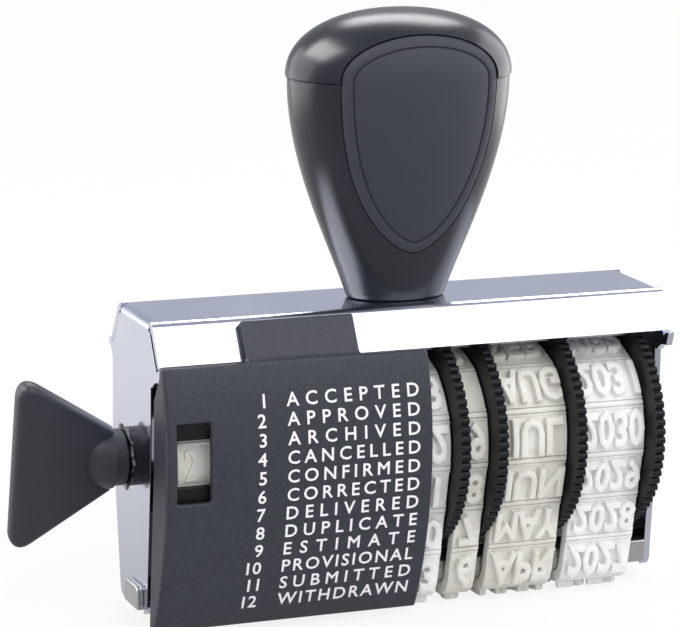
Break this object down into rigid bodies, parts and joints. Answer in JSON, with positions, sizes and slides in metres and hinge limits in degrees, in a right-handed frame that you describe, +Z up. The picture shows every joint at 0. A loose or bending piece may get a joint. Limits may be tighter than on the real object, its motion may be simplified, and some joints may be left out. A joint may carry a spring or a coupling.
{
  "type": "date stamp",
  "caption": "Hand stamp with a pear-shaped handle on a folded steel frame, knurled date wheels under rubber type bands, and a winged knob that turns a phrase band.",
  "frame": {"origin": "middle of the stamp's box, on the printing plane, with the axle's line in the plane y = 0", "axes": "+X along the printing line towards the year wheel, +Y from the cover to the back, +Z up towards the handle"},
  "size_m": [0.0817, 0.0274, 0.0724],
  "materials": {
    "chrome_steel": "polished",
    "bright_steel": "satin",
    "spring_steel": "satin",
    "gloss_black": "gloss",
    "panel_grey": "matt",
    "cover_plastic": "satin",
    "knob_plastic": "satin",
    "wheel_plastic": "satin",
    "white_rubber": "matt",
    "cream_rubber": "matt"
  },
  "bodies": {
    "frame": {"frame": "chrome_steel", "bridge": "bright_steel", "axle": "bright_steel", "axle_collar": "wheel_plastic", "axle_clip": "spring_steel", "plate_bush": "wheel_plastic", "handle_grip": "gloss_black", "handle_cap": "gloss_black", "handle_panel": "panel_grey", "handle_screw": "bright_steel", "front_cover": "cover_plastic", "phrase_band": "cream_rubber", "day_tens_band": "white_rubber", "day_units_band": "cream_rubber", "month_band": "cream_rubber", "year_band": "white_rubber"},
    "phrase": {"phrase_drum": "wheel_plastic", "phrase_knob": "knob_plastic", "spring_washer": "spring_steel"},
    "day_tens": {"day_tens_wheel": "wheel_plastic"},
    "day_units": {"day_units_wheel": "wheel_plastic"},
    "month": {"month_wheel": "wheel_plastic"},
    "year": {"year_wheel": "wheel_plastic"}
  },
  "joints": [
    {"name": "phrase_turn", "type": "hinge", "parent": "frame", "child": "phrase", "pos_m": [-0.0096, 0, 0.0203], "axis": [1, 0, 0], "continuous": true},
    {"name": "day_tens_turn", "type": "hinge", "parent": "frame", "child": "day_tens", "pos_m": [0.0092, 0, 0.0203], "axis": [1, 0, 0], "continuous": true},
    {"name": "day_units_turn", "type": "hinge", "parent": "frame", "child": "day_units", "pos_m": [0.0141, 0, 0.0203], "axis": [1, 0, 0], "continuous": true},
    {"name": "month_turn", "type": "hinge", "parent": "frame", "child": "month", "pos_m": [0.0218, 0, 0.0203], "axis": [1, 0, 0], "continuous": true},
    {"name": "year_turn", "type": "hinge", "parent": "frame", "child": "year", "pos_m": [0.0322, 0, 0.0203], "axis": [1, 0, 0], "continuous": true}
  ]
}
